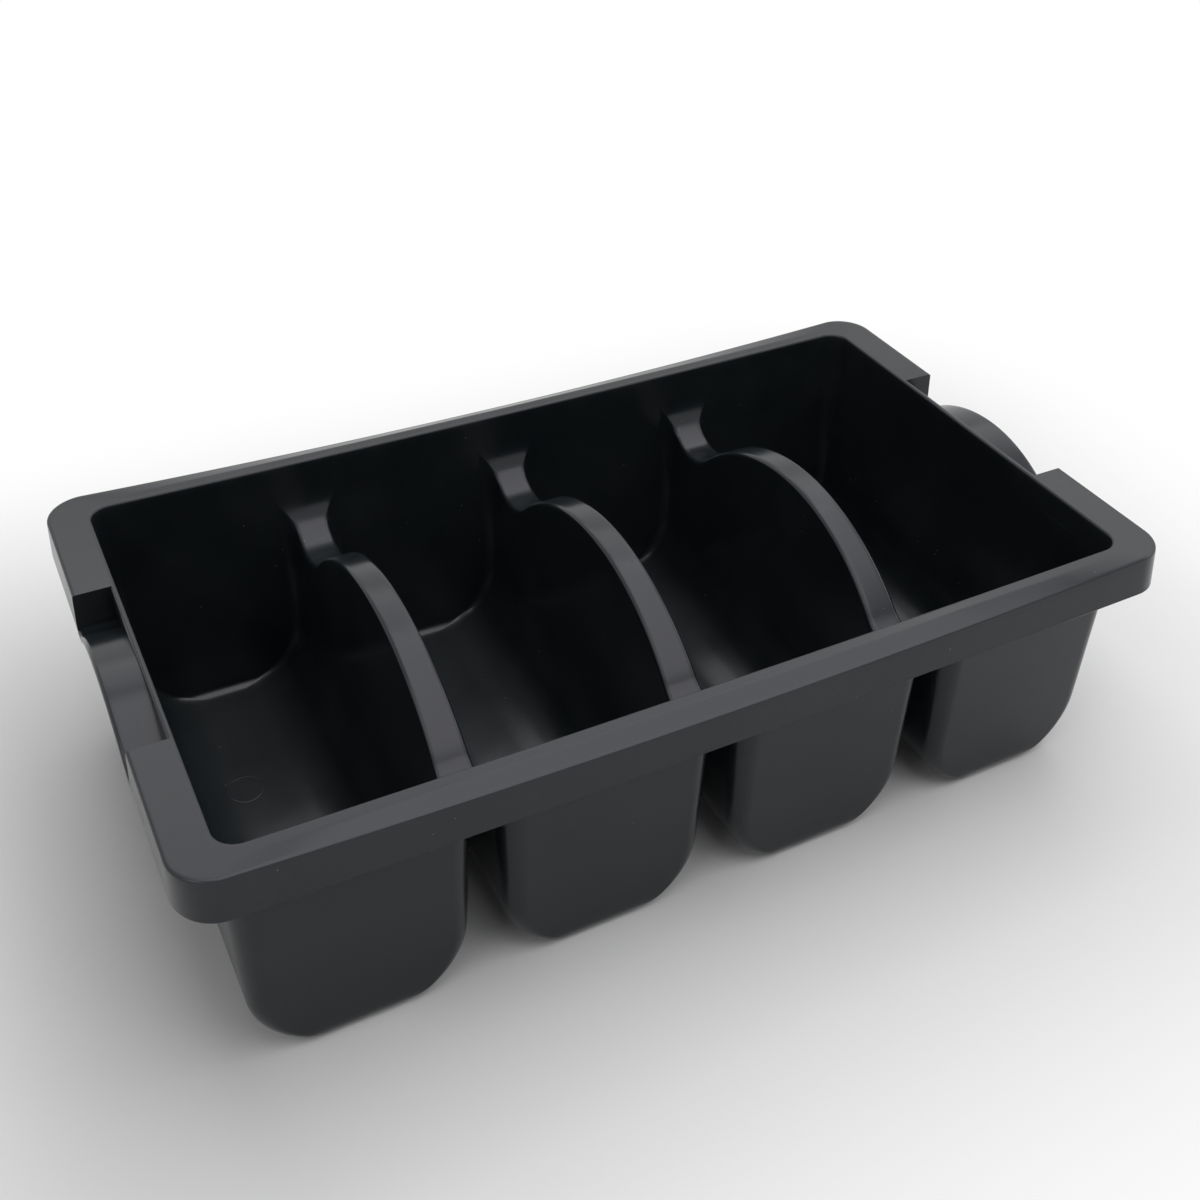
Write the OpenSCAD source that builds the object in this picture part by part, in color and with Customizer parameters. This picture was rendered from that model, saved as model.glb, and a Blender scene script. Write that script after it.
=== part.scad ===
// Cutlery box with four round-bottomed compartments, arched dividers and a hand grip in each end.
// The real thing is one moulding: each node below is one section of it, and the sections meet face to face.
// Millimetres. The origin is under the middle of the box, on the table; +X is right, +Y is back, +Z is up.

/* [Overall] */
// Height from the table to the top of the rim
height = 144; // [125:1:180]
// Thickness of the moulded walls
wall = 3; // [2:0.1:4]
// Lean of the compartments' walls, in degrees
draft = 2.6; // [1:0.1:3.4]

/* [Rim] */
// Length of the rim along its top edge, left to right
rim_length = 520; // [450:1:620]
// Depth of the rim along its top edge, front to back
rim_depth = 296; // [250:1:380]
// Plan radius of the rim's outer corners
rim_corner = 20; // [14:0.5:30]
// Width of the rim's top at each short end
end_flange = 21; // [16:0.5:30]
// Width of the rim's top along each long side
side_flange = 16; // [12:0.5:26]
// How far the rim's skirt hangs below its top
rim_drop = 22; // [17:0.5:25]
// How far the skirt leans out by its lower edge
skirt_flare = 2.5; // [0.5:0.1:5]
// Bevel along the rim's outer top edge
rim_bevel = 1.5; // [0.5:0.1:2]

/* [Compartments] */
// Plan radius of the upright corners, at the rim
cell_corner = 11; // [9.5:0.5:18]
// Radius of the floor's edge along a compartment's sides
floor_round = 33; // [15:1:38]
// Radius of the floor's edge at a compartment's ends
floor_edge = 6; // [3:0.5:15]

/* [Dividers] */
// Thickness through a divider, at rim level
divider_width = 15; // [12:0.5:24]
// How far a ridge's crest lies below the rim
crest_drop = 3; // [1:0.5:12]
// How far a ridge's two low points lie below the rim
dip_drop = 47; // [44:1:62]
// Radius of the hollow at each low point
hollow_round = 26; // [18:0.5:30]
// Lean of a ridge's straight ends where they run up the end walls, in degrees
hollow_rake = 25; // [18:1:35]

/* [Hand grips] */
// Length of the gap in the rim at a grip
grip_length = 120; // [90:1:150]
// Thickness of a grip's arched plate
grip_plate = 4; // [2.5:0.1:5]
// How far the arch's crest lies below the rim
grip_crest = 2; // [0.5:0.5:5]
// How far the arch's ends lie above the skirt's lower edge
grip_seat = 1.5; // [0.5:0.1:4]
// Length of the flat lip at each end of the arch
grip_lip = 3.5; // [2:0.5:8]
// Radius of the hollow between a lip and the arch
grip_hollow = 8; // [4:0.5:15]

/* [Hidden] */
$fn = 96;

// How far a cutting shape runs past what it cuts
past = 1;
// How far a round corner stands outside the flat faces that it joins, so that it crosses them cleanly
blend = 0.25;
// How much less a bevelled edge grows than the walls beside it
bevel_share = 2 - sqrt(2);
// Inward lean of a compartment's walls per unit of depth, and outward lean of the skirt
lean = tan(draft);
flare = skirt_flare / rim_drop;

// The opening inside the rim, and the compartments that divide it
open_l = rim_length - 2 * end_flange;
open_d = rim_depth - 2 * side_flange;
cell = (open_l - 3 * divider_width) / 4;
pitch = cell + divider_width;
band_z = height - rim_drop;
plastic = [0.17, 0.17, 0.18];

// Half width of a leaning wall at height z, from its half width at the rim
function wall_at(half, z) = half - lean * (height - z);

// Two equal hollows and the dome between them, all tangent: the dome's radius plus a hollow's radius
function arch_reach(y, rise) = (y * y + rise * rise) / (2 * rise);

// A divider's ridge: each hollow runs out in a straight raked end that meets the end wall under the rim's band
rake = [cos(hollow_rake), -sin(hollow_rake)];
ridge_z = height - dip_drop + hollow_round;
ridge_end = [wall_at(open_d / 2, band_z), band_z];
ridge_leave_z = ridge_z + hollow_round * rake[1];
ridge_y = ridge_end[0] - (band_z - ridge_leave_z) * tan(hollow_rake) - hollow_round * rake[0];

// A grip's arch: each hollow runs out into a flat lip
lip_z = band_z + grip_seat;
arch_y = grip_length / 2 - grip_lip;
arch_z = lip_z + grip_hollow;
grip_out = rim_length / 2 + skirt_flare;

module along_x(length) {
    rotate([90, 0, 90]) linear_extrude(length, center = true) children();
}

module along_y(length) {
    rotate([90, 0, 0]) linear_extrude(length, center = true) children();
}

// Block with round upright corners, its sizes given at z1, growing by slope for each unit of height
module column(hx, hy, r, z0, z1, slope) {
    h = z1 - z0;
    d = slope * h;
    translate([0, 0, z0]) {
        for (sx = [-1, 1], sy = [-1, 1])
            translate([sx * (hx - r), sy * (hy - r), 0]) cylinder(h = h, r1 = r - d, r2 = r);
        along_y(2 * (hy - r)) polygon([[d - hx, 0], [hx - d, 0], [hx, h], [-hx, h]]);
        along_x(2 * (hx - r)) polygon([[d - hy, 0], [hy - d, 0], [hy, h], [-hy, h]]);
    }
}

// Section across a compartment: leaning walls and a flat floor with round edges
module section(half, floor_z, r, top_z) {
    cz = floor_z + r;
    cx = wall_at(half, cz) - r / cos(draft);
    tx = cx + r * cos(draft);
    tz = cz - r * sin(draft);
    top = wall_at(half, top_z);
    polygon([[-top, top_z], [-tx, tz], [-cx, cz], [cx, cz], [tx, tz], [top, top_z]]);
    translate([-cx, floor_z]) square([2 * cx, r]);
    for (s = [-1, 1]) translate([s * cx, cz]) circle(r);
}

// Solid of a compartment, grown by a wall for its outside and not at all for its inside
module trough(grow, top_z) {
    hx = cell / 2 + grow;
    hy = open_d / 2 + grow;
    floor_z = wall - grow;
    bevel = floor_edge + bevel_share * grow;
    edge = blend + lean * (top_z - height);
    top = wall_at(hy, top_z + past);
    knee = wall_at(hy, floor_z + bevel);
    foot = knee - bevel - past;
    intersection() {
        along_y(2 * (hy + past)) section(hx, floor_z, floor_round + grow, top_z + past);
        along_x(2 * (hx + past))
            polygon([[-top, top_z + past], [-knee, floor_z + bevel], [-foot, floor_z - past],
                     [foot, floor_z - past], [knee, floor_z + bevel], [top, top_z + past]]);
        column(hx + edge, hy + edge, cell_corner + grow + edge, floor_z - past, top_z, lean);
    }
}

// Everything below an arched outline: a dome, a hollow on each side of it, then the outline's own ends
module under_arch(length, y, z, r, dome, crest_z, ends) {
    dome_z = crest_z - dome;
    reach = ends[len(ends) - 1][0];
    k = (r + past) / norm([y, z - dome_z]);
    inner = [y * (1 - k), z + (dome_z - z) * k];
    half = concat([inner, [y, z]], ends, [[reach, -past]]);
    other = [for (i = [len(half) - 1 : -1 : 0]) [-half[i][0], half[i][1]]];
    difference() {
        union() {
            along_x(length) polygon(concat(half, other));
            along_x(length) intersection() {
                translate([0, dome_z]) circle(dome);
                translate([-reach, inner[1] - past]) square([2 * reach, height]);
            }
        }
        for (s = [-1, 1])
            along_x(length + 2 * past) translate([s * y, z]) circle(r + blend);
    }
}

module under_ridge(length, depth) {
    r = hollow_round + depth;
    dome = arch_reach(ridge_y, dip_drop - crest_drop) - r;
    leave = [ridge_y, ridge_z] + r * rake;
    reach = open_d / 2 + wall + past;
    end = depth > 0
        ? [[reach, leave[1] + (reach - leave[0]) / tan(hollow_rake)]]
        : [ridge_end, [reach, band_z]];
    under_arch(length, ridge_y, ridge_z, r, dome, height - crest_drop - depth, concat([leave], end));
}

module under_grip(length, depth) {
    r = grip_hollow + depth;
    dome = arch_reach(arch_y, rim_drop - grip_seat - grip_crest) - r;
    crest_z = height - grip_crest - depth;
    ends = [[arch_y, lip_z - depth], [grip_length / 2, lip_z - depth]];
    under_arch(length, arch_y, arch_z, r, dome, crest_z, ends);
}

// Space that one half of a compartment's shell may fill: under the ridge, or under the rim's band
module headroom(side, ridged) {
    reach = cell / 2 + wall + past;
    translate([side * reach / 2, 0, 0])
        if (ridged)
            under_ridge(reach, 0);
        else
            translate([-reach / 2, -rim_depth / 2, -past]) cube([reach, rim_depth, band_z + past]);
}

module compartment(index, ridge_left, ridge_right) {
    color(plastic) translate([(index - 1.5) * pitch, 0, 0]) intersection() {
        difference() {
            trough(wall, height);
            trough(0, height + past);
        }
        union() {
            headroom(-1, ridge_left);
            headroom(1, ridge_right);
        }
    }
}

// Upper part of a compartment's outside, without its round floor
module trough_top() {
    hx = cell / 2 + wall;
    hy = open_d / 2 + wall;
    foot_x = wall_at(hx, 0);
    foot_y = wall_at(hy, 0);
    intersection() {
        along_y(2 * (hy + past)) polygon([[-foot_x, 0], [foot_x, 0], [hx, height], [-hx, height]]);
        column(hx + blend, hy + blend, cell_corner + wall + blend, past, height, lean);
    }
}

// Bridge that closes the gap between two compartments from above
module divider(index) {
    x = (index - 1) * pitch;
    span = divider_width + 2 * cell_corner;
    top = open_d / 2 + wall;
    foot = wall_at(top, 0);
    color(plastic) difference() {
        translate([x, 0, 0]) intersection() {
            difference() {
                under_ridge(span, 0);
                under_ridge(span + 2 * past, wall);
            }
            along_x(span + 2 * past) polygon([[-foot, 0], [foot, 0], [top, height], [-top, height]]);
        }
        for (s = [-1, 1]) translate([x + s * pitch / 2, 0, 0]) trough_top();
    }
}

module opening(grow, z0, z1) {
    edge = grow + lean * (z1 - height);
    column(open_l / 2 + edge, open_d / 2 + edge, cell_corner + edge, z0, z1, lean);
}

module skirt_block(shrink, z0, z1) {
    edge = flare * (height - z1) - shrink;
    column(rim_length / 2 + edge, rim_depth / 2 + edge, rim_corner + edge, z0, z1, -flare);
}

// Everything behind a cut across the box
module behind(y) {
    translate([-rim_length, y, -past]) cube([2 * rim_length, rim_depth, 2 * height]);
}

// Whole rim before it is hollowed: a leaning skirt with a bevelled top edge
module rim_block() {
    edge = flare * rim_bevel - rim_bevel;
    intersection() {
        skirt_block(0, band_z, height);
        column(rim_length / 2 + edge, rim_depth / 2 + edge, rim_corner + edge, band_z - past, height, -1);
    }
}

// Space under the rim's top, between the skirt outside and a band of wall inside, open below
module rim_hollow() {
    difference() {
        skirt_block(wall, band_z - past, height - wall);
        opening(wall, band_z - 2 * past, height);
    }
}

// Half of the rim, its hollow closed by a wall at each grip's gap
module back_rim() {
    color(plastic) difference() {
        intersection() {
            rim_block();
            behind(grip_length / 2);
        }
        intersection() {
            rim_hollow();
            behind(grip_length / 2 + wall);
        }
        opening(0, band_z - past, height + past);
    }
}

module front_rim() {
    mirror([0, 1, 0]) back_rim();
}

// Arched plate, and the strip of end wall that it springs from
module right_grip() {
    face = open_l / 2;
    middle = (face + grip_out) / 2;
    low = wall_at(face, band_z);
    color(plastic) {
        along_y(grip_length)
            polygon([[low, band_z], [low + wall, band_z], [face + wall, height], [face, height]]);
        difference() {
            translate([middle, 0, 0]) under_grip(grip_out - face, 0);
            translate([middle, 0, 0]) under_grip(grip_out, grip_plate);
            along_y(grip_length + 2 * past)
                polygon([[0, 0], [wall_at(face + wall, 0), 0], [low + wall, band_z], [low + wall / 2, band_z],
                         [face + wall / 2, height], [0, height]]);
        }
    }
}

module left_grip() {
    mirror([1, 0, 0]) right_grip();
}

module left_compartment() { compartment(0, false, true); }
module centre_left_compartment() { compartment(1, true, true); }
module centre_right_compartment() { compartment(2, true, true); }
module right_compartment() { compartment(3, true, false); }
module left_divider() { divider(0); }
module middle_divider() { divider(1); }
module right_divider() { divider(2); }

back_rim();
front_rim();
left_grip();
right_grip();
left_compartment();
centre_left_compartment();
centre_right_compartment();
right_compartment();
left_divider();
middle_divider();
right_divider();
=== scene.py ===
import bpy
import bmesh
import numpy as np
from mathutils import Matrix, Vector


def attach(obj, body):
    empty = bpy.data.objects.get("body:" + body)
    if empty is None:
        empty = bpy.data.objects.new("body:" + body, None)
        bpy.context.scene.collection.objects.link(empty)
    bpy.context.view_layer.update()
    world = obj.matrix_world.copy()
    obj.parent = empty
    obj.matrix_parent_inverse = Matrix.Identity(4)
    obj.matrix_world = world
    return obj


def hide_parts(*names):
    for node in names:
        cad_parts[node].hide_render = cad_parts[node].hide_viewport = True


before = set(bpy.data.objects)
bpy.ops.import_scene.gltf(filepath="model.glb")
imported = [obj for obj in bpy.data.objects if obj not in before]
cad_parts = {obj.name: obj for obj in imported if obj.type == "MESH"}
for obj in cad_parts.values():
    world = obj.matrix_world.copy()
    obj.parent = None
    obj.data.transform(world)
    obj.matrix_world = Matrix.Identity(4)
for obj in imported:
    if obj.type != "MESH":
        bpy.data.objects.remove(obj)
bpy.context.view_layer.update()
print("frame loaded")

# the whole box is one moulding, in millimetres: origin on the table, rim at the top
moulding = {"top": 144.0, "wall": 3.0, "draft": 2.6, "openLength": 478.0, "openDepth": 264.0,
            "corner": 11.0, "gap": 15.0, "bandDrop": 22.0}
top, wall = moulding["top"], moulding["wall"]
draft = np.radians(moulding["draft"])
lean = np.tan(draft)
bandZ = top - moulding["bandDrop"]
halfDepth = moulding["openDepth"] / 2
halfLength = moulding["openLength"] / 2
cell = (moulding["openLength"] - 3 * moulding["gap"]) / 4
pitch = cell + moulding["gap"]
cornerY = halfDepth - moulding["corner"]


def leanIn(half, z):
    # half width of a leaning wall at height z: its half width at the rim less the draft over the depth
    return half - lean * (top - z)


def cornerAt(z):
    # radius of a compartment's upright corner at height z, on an upright axis
    return moulding["corner"] - lean * (top - z)


def steps(a, b, n, power=1.0):
    # n values from a to b, crowded towards a when power is above 1
    return a + (b - a) * np.linspace(0, 1, n) ** power


def gridQuads(ids, closed=False):
    # quads between neighbouring rows and columns of a table of point numbers
    if closed:
        ids = np.column_stack([ids, ids[:, :1]])
    return np.stack([ids[:-1, :-1], ids[:-1, 1:], ids[1:, 1:], ids[1:, :-1]], axis=-1).reshape(-1, 4)


# how each mesh is cleaned and smoothed: distances in metres, angles in degrees
meshing = {"millimetre": 0.001, "mergeWithin": 2e-6, "sliver": 1e-6, "sharpFrom": 38, "bevelFrom": 50,
           "bevelSegments": 2}


def makePiece(name, points, faces, nodes, finish, bevel=0.0):
    # points in millimetres and faces by number become one smooth closed mesh that stands for CAD nodes
    mesh = bpy.data.meshes.new(name)
    places = np.asarray(points, float) * meshing["millimetre"]
    mesh.from_pydata(places.tolist(), [], [list(map(int, f)) for f in faces])
    work = bmesh.new()
    work.from_mesh(mesh)
    bmesh.ops.remove_doubles(work, verts=work.verts, dist=meshing["mergeWithin"])
    bmesh.ops.dissolve_degenerate(work, edges=work.edges, dist=meshing["sliver"])
    bmesh.ops.recalc_face_normals(work, faces=work.faces)
    openEdges = sum(1 for e in work.edges if len(e.link_faces) != 2)
    volume = work.calc_volume(signed=True) * 1e6  # cubic metres to cubic centimetres
    work.to_mesh(mesh)
    work.free()
    mesh.polygons.foreach_set("use_smooth", np.ones(len(mesh.polygons), bool))
    mesh.set_sharp_from_angle(angle=np.radians(meshing["sharpFrom"]))
    piece = bpy.data.objects.new(name, mesh)
    bpy.context.scene.collection.objects.link(piece)
    if bevel > 0:
        soft = piece.modifiers.new("softEdges", "BEVEL")
        soft.width, soft.segments = bevel * meshing["millimetre"], meshing["bevelSegments"]
        soft.limit_method, soft.angle_limit = "ANGLE", np.radians(meshing["bevelFrom"])
    mesh.materials.append(finish)
    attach(piece, "root")
    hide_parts(*nodes)
    print(name, len(mesh.polygons), "faces,", openEdges, "open edges, volume", round(volume, 1), "cm3")


# finish: satin black plastic, from a few small node helpers
def ramp(nodes, links, source, low, high, soft=True):
    # nought at low, one at high, held outside
    node = nodes.new("ShaderNodeMapRange")
    node.interpolation_type = "SMOOTHSTEP" if soft else "LINEAR"
    node.inputs["From Min"].default_value = low
    node.inputs["From Max"].default_value = high
    links.new(source, node.inputs["Value"])
    return node.outputs["Result"]


def sums(nodes, links, operation, *values):
    # one Math node from sockets and plain numbers
    node = nodes.new("ShaderNodeMath")
    node.operation = operation
    for slot, value in zip(node.inputs, values):
        if isinstance(value, (int, float)):
            slot.default_value = value
        else:
            links.new(value, slot)
    return node.outputs["Value"]


def noise(nodes, links, source, scale, detail):
    # cloudy values between nought and one
    node = nodes.new("ShaderNodeTexNoise")
    node.inputs["Scale"].default_value = scale
    node.inputs["Detail"].default_value = detail
    links.new(source, node.inputs["Vector"])
    return node.outputs["Fac"]


# scales per metre, with the noise's detail; ranges run from none to full
grain = {"fine": (1400.0, 3.0), "cloud": (22.0, 4.0), "cloudRange": (0.3, 0.7), "wave": (34.0, 1.0),
         "waveHeight": 9.0}
rubbing = {"stretch": (700.0, 16.0, 300.0), "turn": (0.0, 0.0, 0.12), "noise": (1.0, 2.0),
           "range": (0.66, 0.76), "patch": (14.0, 2.0), "patchRange": (0.5, 0.62), "tone": 1.3, "gloss": -0.3}
flecks = {"scale": 200.0, "chance": (0.93, 0.94), "size": (0.075, 0.045)}
pinMark = {"place": (-0.196, 0.0407), "radius": 0.0097, "line": (0.0005, 0.0), "floor": (0.005, 0.004),
           "height": -5.0}
# painted reflection: how far the low upward-facing floors are lifted towards pale, standing in for the light
# they mirror
paintedFloorReflection = {"floor": (0.03, 0.006), "level": (0.55, 0.97), "tone": 2.2}


def grainGroup():
    # fine grain, slow cloudiness, lengthwise rubbing marks, dust flecks, a painted reflection that makes the
    # low upward-facing floors paler and the ring that an ejector pin left on the first floor, all from Object
    # coordinates in metres
    group = bpy.data.node_groups.new("plasticGrain", "ShaderNodeTree")
    for name in ("Tone", "Fleck", "Sheen Spread", "Height"):
        group.interface.new_socket(name, in_out="OUTPUT", socket_type="NodeSocketFloat")
    nodes, links = group.nodes, group.links
    outlet = nodes.new("NodeGroupOutput")
    spot = nodes.new("ShaderNodeTexCoord")
    place = spot.outputs["Object"]
    fine = noise(nodes, links, place, *grain["fine"])
    cloud = ramp(nodes, links, noise(nodes, links, place, *grain["cloud"]), *grain["cloudRange"], False)
    stretch = nodes.new("ShaderNodeMapping")
    stretch.inputs["Scale"].default_value = rubbing["stretch"]
    stretch.inputs["Rotation"].default_value = rubbing["turn"]
    links.new(place, stretch.inputs["Vector"])
    streak = noise(nodes, links, stretch.outputs["Vector"], *rubbing["noise"])
    patch = noise(nodes, links, place, *rubbing["patch"])
    rub = sums(nodes, links, "MULTIPLY", ramp(nodes, links, streak, *rubbing["range"]),
               ramp(nodes, links, patch, *rubbing["patchRange"]))
    dust = nodes.new("ShaderNodeTexVoronoi")  # a few of the cells carry a fleck at their middle
    dust.inputs["Scale"].default_value = flecks["scale"]
    links.new(place, dust.inputs["Vector"])
    chance = nodes.new("ShaderNodeSeparateColor")
    links.new(dust.outputs["Color"], chance.inputs["Color"])
    few = ramp(nodes, links, chance.outputs["Red"], *flecks["chance"])
    middle = ramp(nodes, links, dust.outputs["Distance"], *flecks["size"])
    fleck = sums(nodes, links, "MULTIPLY", few, middle)
    axes = nodes.new("ShaderNodeSeparateXYZ")
    links.new(place, axes.inputs["Vector"])
    acrossX = sums(nodes, links, "SUBTRACT", axes.outputs["X"], pinMark["place"][0])
    acrossY = sums(nodes, links, "SUBTRACT", axes.outputs["Y"], pinMark["place"][1])
    squareX = sums(nodes, links, "MULTIPLY", acrossX, acrossX)
    away = sums(nodes, links, "SQRT", sums(nodes, links, "MULTIPLY_ADD", acrossY, acrossY, squareX))
    offRing = sums(nodes, links, "ABSOLUTE", sums(nodes, links, "SUBTRACT", away, pinMark["radius"]))
    ring = ramp(nodes, links, offRing, *pinMark["line"])
    ring = sums(nodes, links, "MULTIPLY", ring, ramp(nodes, links, axes.outputs["Z"], *pinMark["floor"]))
    marks = sums(nodes, links, "MULTIPLY_ADD", rub, rubbing["tone"], ring)
    # painted reflection: upward-facing surfaces near the bottom are painted paler, standing in for the light
    # they mirror
    facing = nodes.new("ShaderNodeSeparateXYZ")
    links.new(spot.outputs["Normal"], facing.inputs["Vector"])
    level = ramp(nodes, links, facing.outputs["Z"], *paintedFloorReflection["level"])
    paintedReflectionMask = sums(nodes, links, "MULTIPLY", level, ramp(nodes, links, axes.outputs["Z"], *paintedFloorReflection["floor"]))
    tone = sums(nodes, links, "ADD", cloud, marks)
    links.new(sums(nodes, links, "MULTIPLY_ADD", paintedReflectionMask, paintedFloorReflection["tone"], tone), outlet.inputs["Tone"])
    links.new(fleck, outlet.inputs["Fleck"])
    sheen = sums(nodes, links, "MULTIPLY_ADD", marks, rubbing["gloss"], cloud)
    links.new(sheen, outlet.inputs["Sheen Spread"])
    shrink = noise(nodes, links, place, *grain["wave"])  # slow waviness from the cooling in the mould
    wave = sums(nodes, links, "MULTIPLY_ADD", shrink, grain["waveHeight"], fine)
    links.new(sums(nodes, links, "MULTIPLY_ADD", ring, pinMark["height"], wave), outlet.inputs["Height"])
    return group


plasticFinish = {"dark": (0.0082, 0.0108, 0.0125, 1), "pale": (0.0128, 0.0158, 0.0178, 1),
                 "dust": (0.16, 0.17, 0.18, 1), "smooth": 0.17, "rough": 0.27, "refraction": 1.41,
                 "glossTint": (0.95, 0.93, 1.0, 1), "grainDepth": 0.00004, "grainStrength": 0.35}


def blackPlastic(grained):
    # near-black colour and roughness drift with the cloudiness, and the grain lifts the normal a little
    made = bpy.data.materials.new("blackPlastic")
    made.use_nodes = True
    nodes, links = made.node_tree.nodes, made.node_tree.links
    skin = nodes["Principled BSDF"]
    skin.inputs["IOR"].default_value = plasticFinish["refraction"]
    skin.inputs["Specular Tint"].default_value = plasticFinish["glossTint"]
    detail = nodes.new("ShaderNodeGroup")
    detail.node_tree = grained
    colour = nodes.new("ShaderNodeMix")
    colour.data_type = "RGBA"
    colour.clamp_factor = False  # marks and the painted floor reflection go past the pale end
    colour.inputs["A"].default_value = plasticFinish["dark"]
    colour.inputs["B"].default_value = plasticFinish["pale"]
    links.new(detail.outputs["Tone"], colour.inputs["Factor"])
    dusty = nodes.new("ShaderNodeMix")
    dusty.data_type = "RGBA"
    dusty.inputs["B"].default_value = plasticFinish["dust"]
    links.new(colour.outputs["Result"], dusty.inputs["A"])
    links.new(detail.outputs["Fleck"], dusty.inputs["Factor"])
    links.new(dusty.outputs["Result"], skin.inputs["Base Color"])
    gloss = nodes.new("ShaderNodeMapRange")
    gloss.inputs["To Min"].default_value = plasticFinish["smooth"]
    gloss.inputs["To Max"].default_value = plasticFinish["rough"]
    links.new(detail.outputs["Sheen Spread"], gloss.inputs["Value"])
    links.new(gloss.outputs["Result"], skin.inputs["Roughness"])
    bump = nodes.new("ShaderNodeBump")
    bump.inputs["Strength"].default_value = plasticFinish["grainStrength"]
    bump.inputs["Distance"].default_value = plasticFinish["grainDepth"]
    links.new(detail.outputs["Height"], bump.inputs["Height"])
    links.new(bump.outputs["Normal"], skin.inputs["Normal"])
    return made


plastic = blackPlastic(grainGroup())
print("finish ready")

# ridge line of a divider, shared by the dividers and the compartments beside them
ridge = {"crestDrop": 3.0, "dipDrop": 47.0, "legDepth": 6.0, "legShare": 0.8, "edge": 2.4,
         "domeSteps": 54, "hollowSteps": 60}


def ridgeLine():
    # a dome arc, then a hollow arc tangent to it and to the end wall where the rim's band starts,
    # mirrored in y; gives y, z, the normal's y and z, and how far down the divider's own sides reach
    r = (ridge["dipDrop"] - moulding["bandDrop"]) / (1 - np.sin(draft))
    hy = leanIn(halfDepth, bandZ) - r * np.cos(draft)
    hz = top - ridge["dipDrop"] + r
    rise = ridge["dipDrop"] - ridge["crestDrop"]
    dome = (hy * hy + rise * rise) / (2 * rise) - r
    domeZ = top - ridge["crestDrop"] - dome
    meet = np.arctan2(hy, hz - domeZ)
    a = steps(0, meet, ridge["domeSteps"])[:-1]
    b = steps(-np.pi / 2 - meet, -draft, ridge["hollowSteps"])
    y = np.concatenate([dome * np.sin(a), hy + r * np.cos(b)])
    z = np.concatenate([domeZ + dome * np.cos(a), hz + r * np.sin(b)])
    ny = np.concatenate([np.sin(a), -np.cos(b)])
    nz = np.concatenate([np.cos(a), -np.sin(b)])
    least = 0.05  # cosine below which the end wall is too far off to limit the sides
    toWall = r * (1 / np.clip(np.cos(b + draft), least, 1) - 1)
    room = np.where(np.cos(b) > least, ridge["legShare"] * toWall, np.inf)
    leg = np.minimum(np.concatenate([np.full(len(a), np.inf), room]), ridge["legDepth"])
    flip = slice(None, 0, -1)
    return (np.concatenate([-y[flip], y]), np.concatenate([z[flip], z]), np.concatenate([-ny[flip], ny]),
            np.concatenate([nz[flip], nz]), np.concatenate([leg[flip], leg]))


ridgeY, ridgeZ, ridgeNy, ridgeNz, ridgeLeg = ridgeLine()


def cornerTurn(y, z):
    # angle round a compartment's upright corner at which the wall stands at depth y,
    # nought along the flat side
    r = cornerAt(z)
    return np.arcsin(np.clip((np.abs(y) - cornerY) / r, 0, 1)) * np.sign(y)


def gapHalf(y, z):
    # half the distance between two neighbouring compartments' inner faces: grows with depth
    # and flares at the corners
    return moulding["gap"] / 2 + lean * (top - z) + cornerAt(z) * (1 - np.cos(cornerTurn(y, z)))


# compartments
trough = {"floorRound": 38.0, "floorEdge": 6.0, "arcRows": 20, "arcCrowd": 1.25, "wallRows": 9,
          "endColumns": 22}


def troughSkin(grow, tops):
    # stack of rounded rectangles: side, end and corner sizes each follow their own section of height,
    # with a round floor edge along the sides and a tight one at the ends
    floor = wall - grow
    big, tight = trough["floorRound"] + grow, trough["floorEdge"] + grow
    halfX, halfY = cell / 2 + grow, halfDepth + grow
    midZ = floor + big
    midX = leanIn(halfX, midZ) - big / np.cos(draft)
    endZ = floor + tight
    endY = leanIn(halfY, endZ) - tight / np.cos(draft)
    turn = steps(0, np.pi / 2 - draft, trough["arcRows"], trough["arcCrowd"])
    leaveZ = midZ - big * np.sin(draft)
    side = ridgeY - ridgeLeg * ridgeNy
    sideZ = ridgeZ - ridgeLeg * ridgeNz
    angle = cornerTurn(side, sideZ)
    along = np.clip(side, -cornerY, cornerY) / cornerY
    n, m = len(side), trough["endColumns"]
    across = 1 - 2 * np.arange(1, m + 1) / (m + 1)
    one = np.ones(n)
    outX = np.concatenate([one, across, -one, -across])
    roundX = np.concatenate([np.cos(angle), 0 * across, -np.cos(angle[::-1]), 0 * across])
    outY = np.concatenate([along, 0 * across + 1, along[::-1], 0 * across - 1])
    roundY = np.concatenate([np.sin(angle), 0 * across + 1, np.sin(angle[::-1]), 0 * across - 1])
    flat = np.full(m, bandZ)
    leftTop = sideZ if tops[0] else np.full(n, bandZ)
    rightTop = sideZ if tops[1] else np.full(n, bandZ)
    topZ = np.concatenate([rightTop, flat, leftTop[::-1], flat])
    lowZ = np.repeat((midZ - big * np.cos(turn))[:, None], len(topZ), axis=1)
    up = np.arange(1, trough["wallRows"] + 1)[:, None] / trough["wallRows"]
    z = np.vstack([lowZ, leaveZ + (topZ[None] - leaveZ) * up])
    sideArc = midX + np.sqrt(np.clip(big ** 2 - (midZ - z) ** 2, 0, None))
    endArc = endY + np.sqrt(np.clip(tight ** 2 - (endZ - z) ** 2, 0, None))
    halfA = np.where(z < leaveZ, sideArc, leanIn(halfX, z))
    halfB = np.where(z < endZ - tight * np.sin(draft), endArc, leanIn(halfY, z))
    r = cornerAt(z) + grow
    skin = np.stack([outX * (halfA - r) + roundX * r, outY * (halfB - r) + roundY * r, z], axis=-1)
    blendX = (1 - np.arange(1, m + 1) / (m + 1))[None, :, None]
    right, left = skin[0, 1:n - 1][:, None], skin[0, n + m:2 * n + m][::-1][1:-1][:, None]
    patch = right * blendX + left * (1 - blendX)
    return skin, patch, n, m


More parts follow.
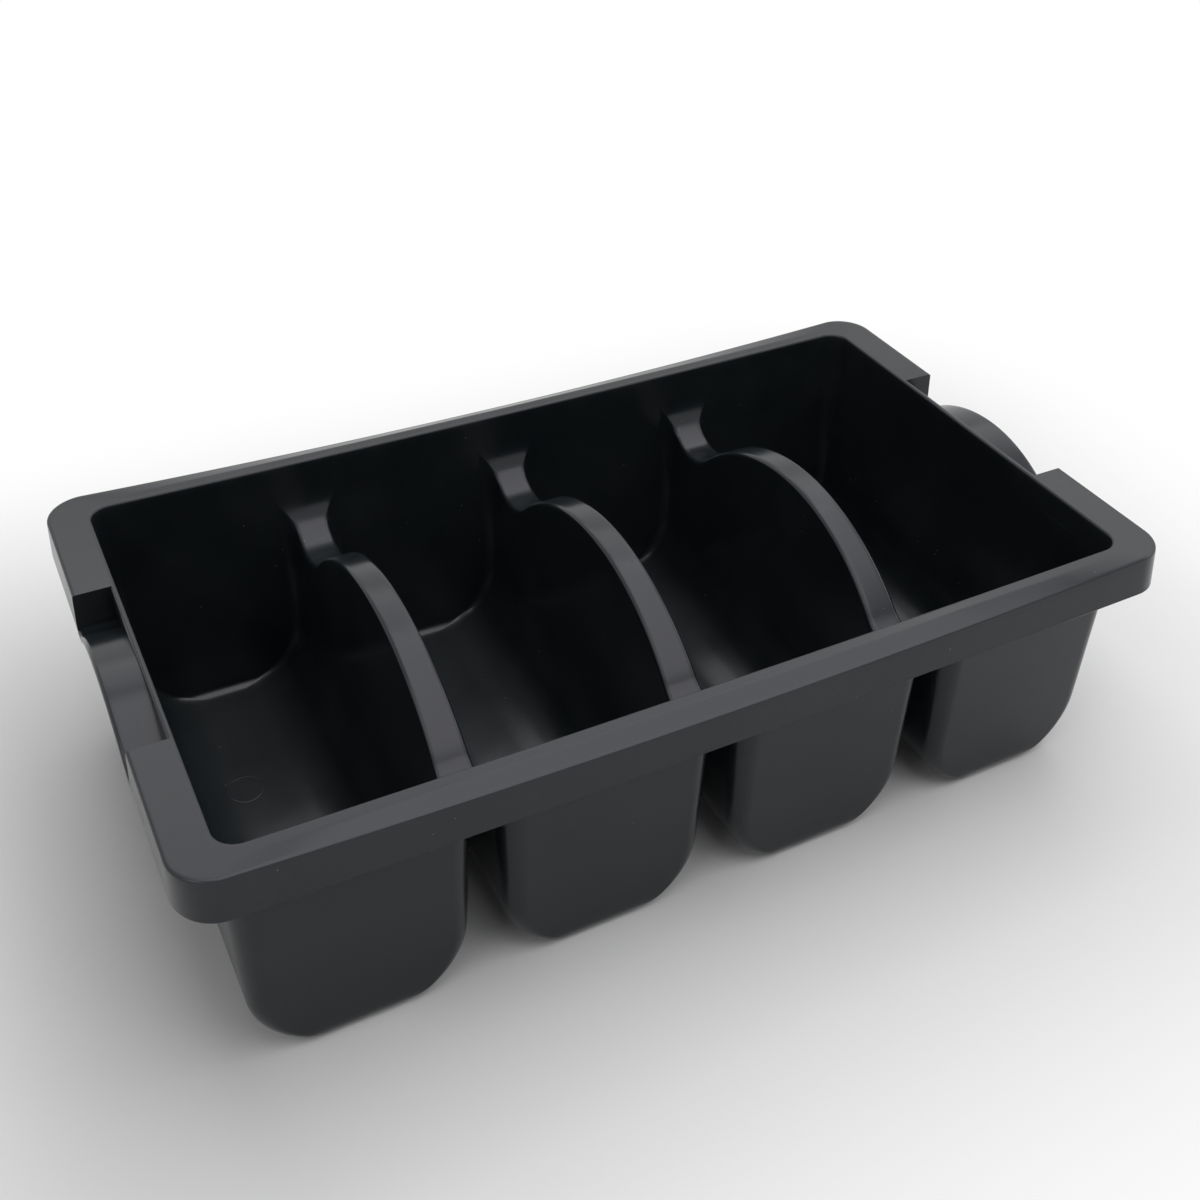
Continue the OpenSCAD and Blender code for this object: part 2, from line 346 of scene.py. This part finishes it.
def troughPiece(name, node, place, tops):
    # inner and outer skins, each closed by a floor patch, joined along the top
    points, faces, start, brims = [], [], 0, []
    for grow in (0.0, wall):
        skin, patch, n, m = troughSkin(grow, tops)
        ids = start + np.arange(skin.shape[0] * skin.shape[1]).reshape(skin.shape[:2])
        floorIds = np.zeros((n, m + 2), int)
        floorIds[:, 0] = ids[0, :n]
        floorIds[:, -1] = ids[0, n + m:2 * n + m][::-1]
        floorIds[-1, 1:-1] = ids[0, n:n + m]
        floorIds[0, 1:-1] = ids[0, 2 * n + m:][::-1]
        floorIds[1:-1, 1:-1] = ids[-1, -1] + 1 + np.arange((n - 2) * m).reshape(n - 2, m)
        points += [skin.reshape(-1, 3), patch.reshape(-1, 3)]
        faces += [gridQuads(ids, True), gridQuads(floorIds)]
        start += skin.shape[0] * skin.shape[1] + (n - 2) * m
        brims.append(ids[-1])
    faces.append(gridQuads(np.stack(brims), True))
    points = np.concatenate(points) + np.array([place, 0, 0])
    makePiece(name, points, np.concatenate(faces).tolist(), [node], plastic)


troughPiece("leftTrough", "left_compartment", -1.5 * pitch, (False, True))
troughPiece("centreLeftTrough", "centre_left_compartment", -0.5 * pitch, (True, True))
troughPiece("centreRightTrough", "centre_right_compartment", 0.5 * pitch, (True, True))
troughPiece("rightTrough", "right_compartment", 1.5 * pitch, (True, False))

# dividers
divider = {"legSteps": 4, "edgeSteps": 8, "edgeShare": 0.45, "topSteps": 6, "underSteps": 5}


def dividerPiece(name, node, place):
    # an upside-down channel carried along the ridge line: sides flush with the compartments' walls,
    # rounded edges, and an underside one wall thick
    cy, cz, ny, nz, leg = (v[:, None] for v in (ridgeY, ridgeZ, ridgeNy, ridgeNz, ridgeLeg))
    edge = np.minimum(ridge["edge"], divider["edgeShare"] * leg)
    down = np.linspace(0, 1, divider["legSteps"] + 1)[None, :-1]
    bend = np.linspace(0, np.pi / 2, divider["edgeSteps"])[None]
    inward = np.linspace(0, 1, divider["topSteps"] + 1)[None, 1:]
    depth = np.hstack([leg + (edge - leg) * down, edge * (1 - np.sin(bend)), 0 * cy + 0 * inward])
    y, z = cy - depth * ny, cz - depth * nz
    inset = np.hstack([0 * leg * down, edge * (1 - np.cos(bend)), edge + 0 * inward])
    keep = np.concatenate([np.ones(down.size + bend.size), 1 - inward[0]])[None]
    x = (gapHalf(y, z) - inset) * keep
    outer = np.stack([x, y, z], axis=-1)
    footY, footZ = y[:, :1], z[:, :1]
    turn = cornerTurn(footY, footZ)
    footX = gapHalf(footY, footZ) - wall * np.cos(turn)
    foot = np.stack([footX, footY + wall * np.sin(turn), footZ], axis=-1)
    underY, underZ = cy - wall * ny, cz - wall * nz
    underX = gapHalf(underY, underZ) - wall * np.cos(cornerTurn(underY, underZ))
    share = np.linspace(1, 0, divider["underSteps"])[None]
    under = np.stack([underX * share, underY + 0 * share, underZ + 0 * share], axis=-1)
    inner = np.concatenate([foot, under], axis=1)
    flip = np.array([-1, 1, 1])
    loop = np.concatenate([outer, outer[:, -2::-1] * flip, inner * flip, inner[:, -2::-1]], axis=1)
    ids = np.arange(loop.shape[0] * loop.shape[1]).reshape(loop.shape[:2])
    faces = gridQuads(ids, True).tolist() + [ids[0].tolist(), ids[-1].tolist()]
    makePiece(name, loop.reshape(-1, 3) + np.array([place, 0, 0]), faces, [node], plastic)


dividerPiece("leftRidge", "left_divider", -pitch)
dividerPiece("middleRidge", "middle_divider", 0.0)
dividerPiece("rightRidge", "right_divider", pitch)

# rim
rim = {"length": 520.0, "depth": 296.0, "corner": 20.0, "sideFlare": 2.4, "endFlare": 0.8, "innerEdge": 1.4,
       "outerEdge": 1.3, "hem": 1.35, "gripGap": 120.0, "innerSag": 1.8, "outerSag": 5.6, "skirtSag": 2.0,
       "crease": 0.38, "gapBevel": 0.35, "endSteps": 12, "arcSteps": 20, "longSteps": 76, "wallSteps": 7,
       "bendSteps": 7, "topSteps": 17, "skirtSteps": 10, "hemSteps": 6}


def rimPath(side, inset):
    # one half of the rim's plan, from gap to gap: straight, corner, long side, corner, straight;
    # gives matching points on the opening and on the outer edge, the outward normal and the sag's share
    inR, outR = moulding["corner"], rim["corner"]
    gapY = rim["gripGap"] / 2 + inset
    inL, inD = halfLength, halfDepth
    outL, outD = rim["length"] / 2, rim["depth"] / 2
    s = np.linspace(0, 1, rim["endSteps"])[:-1]
    q = np.linspace(0, np.pi / 2, rim["arcSteps"])
    k = np.linspace(1, 0, rim["longSteps"] // 2 + 1)[1:]  # half the long side, mirrored below
    inX = np.concatenate([0 * s + inL, inL - inR + inR * np.cos(q), (inL - inR) * k])
    inY = np.concatenate([gapY + (inD - inR - gapY) * s, inD - inR + inR * np.sin(q), 0 * k + inD])
    outX = np.concatenate([0 * s + outL, outL - outR + outR * np.cos(q), (outL - outR) * k])
    outY = np.concatenate([gapY + (outD - outR - gapY) * s, outD - outR + outR * np.sin(q), 0 * k + outD])
    nX = np.concatenate([0 * s + 1, np.cos(q), 0 * k])
    nY = np.concatenate([0 * s, np.sin(q), 0 * k + 1])
    sag = np.concatenate([0 * s, 0 * q, 1 - k ** 2])
    back = slice(-2, None, -1)
    crosswise = [np.concatenate([v, -v[back]]) for v in (inX, outX, nX)]
    lengthwise = [np.concatenate([v, v[back]]) * side for v in (inY, outY, nY)]
    return crosswise + lengthwise + [np.concatenate([sag, sag[back]])]


def rimSection():
    # outer and inner outlines of the channel, point for point: share of the way from opening to outer edge,
    # offset along the normal, share of the skirt's flare, drop below the top, and sag
    drop, hem, ri, ro = moulding["bandDrop"], rim["hem"], rim["innerEdge"], rim["outerEdge"]
    down = np.linspace(drop, ri, rim["wallSteps"])
    bend = np.linspace(0, np.pi / 2, rim["bendSteps"])[1:]
    over = np.linspace(0, 1, rim["topSteps"])[1:-1]
    fall = np.linspace(ro, drop - hem, rim["skirtSteps"])[1:]
    curl = np.linspace(0, np.pi / 2, rim["hemSteps"])[1:]
    share = np.concatenate([0 * down, 0 * bend, over, 0 * bend + 1, 0 * fall + 1, 0 * curl + 1])
    flare = np.concatenate([0 * down, 0 * bend, 0 * over, 0 * bend, fall / drop, 0 * curl + 1])
    outer = np.concatenate([-lean * down, ri * (1 - np.cos(bend)), ri - (ro + ri) * over,
                            ro * np.sin(bend) - ro, 0 * fall, -hem * (1 - np.cos(curl))])
    outerDrop = np.concatenate([down, ri * (1 - np.sin(bend)), 0 * over, ro * (1 - np.cos(bend)), fall,
                                drop - hem + hem * np.sin(curl)])
    inner = np.concatenate([wall - lean * down, 0 * bend + wall, wall - 2 * wall * over, 0 * bend - wall,
                            0 * fall - wall, hem * (1 - np.cos(curl)) - wall])
    innerDrop = np.concatenate([np.maximum(down, wall), 0 * bend + wall, 0 * over + wall, 0 * bend + wall,
                                np.maximum(fall, wall), drop - hem + hem * np.sin(curl)])
    low = np.clip(1 - outerDrop / drop, 0, 1)
    slope = np.clip((share - rim["crease"]) / (1 - rim["crease"]), 0, 1)
    sag = rim["innerSag"] + (rim["outerSag"] - rim["innerSag"]) * slope  # the top, past its crease
    sag = np.where(share == 0, rim["innerSag"] * low, sag)
    sag = np.where(share == 1, rim["skirtSag"] + (rim["outerSag"] - rim["skirtSag"]) * low, sag)
    return (share, outer, flare, outerDrop, sag), (share, inner, flare, innerDrop, sag)


def rimPiece(name, node, side):
    # the channel section carried round half the plan; at each grip gap a wall one thickness deep
    # closes the channel
    skins = []
    for (share, off, flare, drop, sag), inset in zip(rimSection(), (0.0, wall)):
        inX, outX, nX, inY, outY, nY, droop = (v[:, None] for v in rimPath(side, inset))
        out = off + flare * (rim["endFlare"] + (rim["sideFlare"] - rim["endFlare"]) * nY ** 2)
        x = inX * (1 - share) + outX * share + nX * out
        y = inY * (1 - share) + outY * share + nY * out
        skins.append(np.stack([x, y, top - drop - sag * droop], axis=-1))
    loop = np.concatenate([skins[0], skins[1][:, ::-1]], axis=1)
    ids = np.arange(loop.shape[0] * loop.shape[1]).reshape(loop.shape[:2])
    n = skins[0].shape[1]
    faces = gridQuads(ids, True).tolist()
    for row in (0, -1):
        outerIds, innerIds = ids[row, :n], ids[row, n:][::-1]
        below = [outerIds[0], outerIds[-1], innerIds[-1], innerIds[0]]
        faces += [outerIds.tolist(), innerIds.tolist(), below]
    makePiece(name, loop.reshape(-1, 3), faces, [node], plastic, rim["gapBevel"])


rimPiece("backRim", "back_rim", 1)
rimPiece("frontRim", "front_rim", -1)

# hand grips
grip = {"length": 120.0, "plate": 4.0, "crestDrop": 2.0, "lipDrop": 20.5, "lip": 3.5, "hollow": 8.0,
        "wallEdge": 1.35, "outerEdge": 1.9, "domeSteps": 40, "hollowSteps": 12, "lipSteps": 4,
        "stripColumns": 25, "stripRows": 6, "stripBend": 7, "plateRun": 10, "plateBend": 6}


def gripLine():
    # the arch: a dome arc, a hollow arc tangent to it, then a level lip, mirrored in y; with normals
    hy = grip["length"] / 2 - grip["lip"]
    hz = top - grip["lipDrop"] + grip["hollow"]
    rise = grip["lipDrop"] - grip["crestDrop"]
    dome = (hy * hy + rise * rise) / (2 * rise) - grip["hollow"]
    domeZ = top - grip["crestDrop"] - dome
    meet = np.arctan2(hy, hz - domeZ)
    a = steps(0, meet, grip["domeSteps"])[:-1]
    b = steps(-np.pi / 2 - meet, -np.pi / 2, grip["hollowSteps"])
    flat = np.linspace(0, grip["lip"], grip["lipSteps"])[1:]
    y = np.concatenate([dome * np.sin(a), hy + grip["hollow"] * np.cos(b), hy + flat])
    z = np.concatenate([domeZ + dome * np.cos(a), hz + grip["hollow"] * np.sin(b),
                        0 * flat + top - grip["lipDrop"]])
    ny = np.concatenate([np.sin(a), -np.cos(b), 0 * flat])
    nz = np.concatenate([np.cos(a), -np.sin(b), 0 * flat + 1])
    flip = slice(None, 0, -1)
    return (np.concatenate([-y[flip], y]), np.concatenate([z[flip], z]),
            np.concatenate([-ny[flip], ny]), np.concatenate([nz[flip], nz]))


def gripPiece(name, node, side):
    # a strip of end wall with a rounded top, and an arched plate that springs from it
    # and ends in a rounded edge
    ri, drop = grip["wallEdge"], moulding["bandDrop"]
    y = np.linspace(-grip["length"] / 2, grip["length"] / 2, grip["stripColumns"])[:, None]
    rise = np.linspace(drop, ri, grip["stripRows"])
    bend = np.linspace(0, np.pi / 2, grip["stripBend"])[1:]
    sheer = halfLength + wall  # the strip's outer face at the rim
    x = np.concatenate([halfLength - lean * rise, halfLength + ri * (1 - np.cos(bend)),
                        sheer - ri * (1 - np.cos(bend[::-1])), sheer - lean * rise[::-1]])
    d = np.concatenate([rise, ri * (1 - np.sin(bend)), ri * (1 - np.sin(bend[::-1])), rise[::-1]])
    strip = np.stack([x + 0 * y, y + 0 * x, top - d + 0 * y], axis=-1)
    ids = np.arange(strip.shape[0] * strip.shape[1]).reshape(strip.shape[:2])
    faces = gridQuads(ids, True).tolist() + [ids[0].tolist(), ids[-1].tolist()]
    ly, lz, ny, nz = (v[:, None] for v in gripLine())
    t, ro = grip["plate"], grip["outerEdge"]
    outX = rim["length"] / 2 + rim["endFlare"]
    bend = np.linspace(0, np.pi / 2, grip["plateBend"])[1:]
    run = np.linspace(0, 1, grip["plateRun"])
    start = halfLength + wall / 2
    px = np.concatenate([start + (outX - ro - start) * run, outX - ro + ro * np.sin(bend),
                         outX - ro + ro * np.cos(bend), outX - ro + (start - outX + ro) * run[1:]])
    pd = np.concatenate([0 * run, ro * (1 - np.cos(bend)), t - ro * (1 - np.sin(bend)), 0 * run[1:] + t])
    pz = lz - pd * nz
    wallX = leanIn(sheer, pz) - np.where(pz > bandZ, wall / 2, 0)  # the plate starts inside the strip
    plate = np.stack([np.maximum(px + 0 * ly, wallX), ly - pd * ny, pz], axis=-1)
    more = strip.size // 3 + np.arange(plate.shape[0] * plate.shape[1]).reshape(plate.shape[:2])
    faces += gridQuads(more, True).tolist() + [more[0].tolist(), more[-1].tolist()]
    points = np.concatenate([strip.reshape(-1, 3), plate.reshape(-1, 3)]) * np.array([side, 1, 1])
    makePiece(name, points, faces, [node], plastic)


gripPiece("leftGrip", "left_grip", -1)
gripPiece("rightGrip", "right_grip", 1)
print("pieces ready")

# camera: the photograph's own place, direction and framing
view = {"place": (-297.9, -573.3, 598.7), "right": (0.88275, -0.46899, 0.02818),
        "up": (0.23149, 0.48633, 0.84255), "sensor": 36.0, "lens": 44.846, "shift": (-0.0333, -0.1167),
        "clip": (0.01, 50)}
lens = bpy.data.cameras.new("camera")
lens.sensor_width, lens.lens = view["sensor"], view["lens"]
lens.shift_x, lens.shift_y = view["shift"]
lens.clip_start, lens.clip_end = view["clip"]
right, up = Vector(view["right"]).normalized(), Vector(view["up"]).normalized()
back = right.cross(up)
camera = bpy.data.objects.new("camera", lens)
turn = Matrix((right, up, back)).transposed().to_4x4()
camera.matrix_world = Matrix.Translation(Vector(view["place"]) * meshing["millimetre"]) @ turn
bpy.context.scene.collection.objects.link(camera)
bpy.context.scene.camera = camera

# light: one long soft sheet overhead that the ridges mirror, two behind that the rim mirrors,
# a strip at each side for the edges of the ridges, and white all round; watts and metres
studio = {
    "overhead": {"power": 21.5, "size": (1.6, 2.28), "place": (0.35, -0.46, 1.6), "aim": (0.35, -0.46, 0.0)},
    "behind": {"power": 8.5, "size": (2.2, 1.1), "place": (0.45, 1.45, 1.8), "aim": (0.0, 0.0, 0.1)},
    "behindRight": {"power": 2.0, "size": (1.0, 0.8), "place": (1.75, 0.95, 1.6), "aim": (0.0, 0.0, 0.1)},
    "leftStrip": {"power": 3.5, "size": (1.0, 0.15), "place": (-1.15, -0.6, 1.3), "aim": (0.0, -0.6, 0.1)},
    "rightStrip": {"power": 3.0, "size": (1.0, 0.25), "place": (1.55, -0.4, 1.05), "aim": (0.0, -0.4, 0.1)}}
skyLight = 0.15  # what the white room adds as light; seen directly it is plain white

for name, sheet in studio.items():  # area lights, each turned to face its aim
    lamp = bpy.data.lights.new(name, "AREA")
    lamp.shape, lamp.energy = "RECTANGLE", sheet["power"]
    lamp.size, lamp.size_y = sheet["size"]
    holder = bpy.data.objects.new(name, lamp)
    way = Vector(sheet["aim"]) - Vector(sheet["place"])
    holder.rotation_euler = way.to_track_quat("-Z", "Y").to_euler()
    holder.location = sheet["place"]
    bpy.context.scene.collection.objects.link(holder)


def seenDirectly(nodes, links):
    # one for rays from the camera, from gloss and through glass, nought for all others
    path = nodes.new("ShaderNodeLightPath")
    found = path.outputs["Is Camera Ray"]
    for other in ("Is Glossy Ray", "Is Transmission Ray"):
        found = sums(nodes, links, "MAXIMUM", found, path.outputs[other])
    return found


sky = bpy.data.worlds.new("studio")
bpy.context.scene.world = sky
sky.use_nodes = True
skyNodes, skyLinks = sky.node_tree.nodes, sky.node_tree.links
dome = skyNodes["Background"]
dome.inputs["Color"].default_value = (1, 1, 1, 1)
skyStrength = skyNodes.new("ShaderNodeMapRange")
skyStrength.inputs["To Min"].default_value = skyLight
skyStrength.inputs["To Max"].default_value = 1.0
skyLinks.new(seenDirectly(skyNodes, skyLinks), skyStrength.inputs["Value"])
skyLinks.new(skyStrength.outputs["Result"], dome.inputs["Strength"])

# floor: pale paper that keeps the shadow near the box and turns to the white of the room further off
floorSheet = {"half": 20.0, "colour": (0.84, 0.84, 0.84, 1), "roughness": 0.9, "box": (0.26, 0.148, 0.0),
              "paperTo": 0.03, "whiteFrom": 0.3}


def floorPaper():
    # where the floor is seen directly, white takes over with the distance from the box's plan;
    # all other rays find paper everywhere
    paper = bpy.data.materials.new("paper")
    paper.use_nodes = True
    nodes, links = paper.node_tree.nodes, paper.node_tree.links
    skin = nodes["Principled BSDF"]
    skin.inputs["Base Color"].default_value = floorSheet["colour"]
    skin.inputs["Roughness"].default_value = floorSheet["roughness"]
    way = nodes.new("ShaderNodeTexCoord").outputs["Object"]  # becomes the way out from the box's plan
    for step, value in (("ABSOLUTE", None), ("SUBTRACT", floorSheet["box"]), ("MAXIMUM", (0, 0, 0))):
        beside = nodes.new("ShaderNodeVectorMath")
        beside.operation = step
        links.new(way, beside.inputs[0])
        if value is not None:
            beside.inputs[1].default_value = value
        way = beside.outputs["Vector"]
    away = nodes.new("ShaderNodeVectorMath")
    away.operation = "LENGTH"
    links.new(way, away.inputs[0])
    fade = ramp(nodes, links, away.outputs["Value"], floorSheet["paperTo"], floorSheet["whiteFrom"])
    white = nodes.new("ShaderNodeEmission")
    white.inputs["Color"].default_value = (1, 1, 1, 1)
    blend = nodes.new("ShaderNodeMixShader")
    links.new(sums(nodes, links, "MULTIPLY", fade, seenDirectly(nodes, links)), blend.inputs["Fac"])
    links.new(skin.outputs["BSDF"], blend.inputs[1])
    links.new(white.outputs["Emission"], blend.inputs[2])
    links.new(blend.outputs["Shader"], nodes["Material Output"].inputs["Surface"])
    return paper


ground = bpy.data.meshes.new("floor")
h = floorSheet["half"]
ground.from_pydata([(-h, -h, 0), (h, -h, 0), (h, h, 0), (-h, h, 0)], [], [(0, 1, 2, 3)])
ground.materials.append(floorPaper())
floorPiece = bpy.data.objects.new("floor", ground)
bpy.context.scene.collection.objects.link(floorPiece)

bpy.context.scene.view_settings.view_transform = "Standard"
print("camera, light and floor ready")
